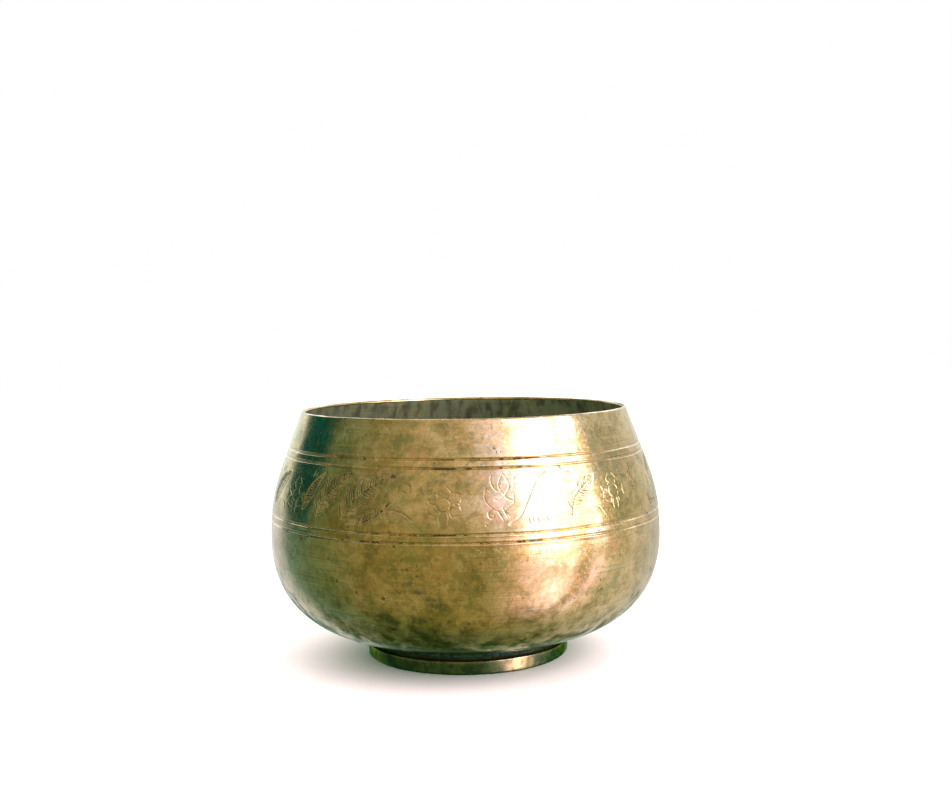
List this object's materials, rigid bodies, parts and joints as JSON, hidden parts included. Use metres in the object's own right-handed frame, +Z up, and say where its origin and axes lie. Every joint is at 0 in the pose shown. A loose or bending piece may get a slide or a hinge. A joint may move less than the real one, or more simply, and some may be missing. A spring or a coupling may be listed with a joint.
{
  "type": "planter pot",
  "caption": "Squat round-bellied brass planter pot: an open turned bowl with paired grooves on its shoulder and belly, brazed to a low foot ring.",
  "frame": {"origin": "middle of the foot ring's underside, on the pot's turning axis", "axes": "+Z up along the turning axis, from the foot ring to the open rim; the pot is round, so +X and +Y are free, and -Y faces the viewer"},
  "size_m": [0.152, 0.152, 0.0965],
  "materials": {
    "bowl_brass": "old hand-polished brass, olive-gold with dark mottling, semi-gloss, chased floral band",
    "foot_brass": "old turned brass, a little duller than the bowl, worn bright at its edges",
    "spelter": "dull brazing spelter with flux residue and verdigris"
  },
  "bodies": {
    "root": {"bowl": "bowl_brass", "foot_ring": "foot_brass", "spelter_seam": "spelter"}
  },
  "joints": []
}
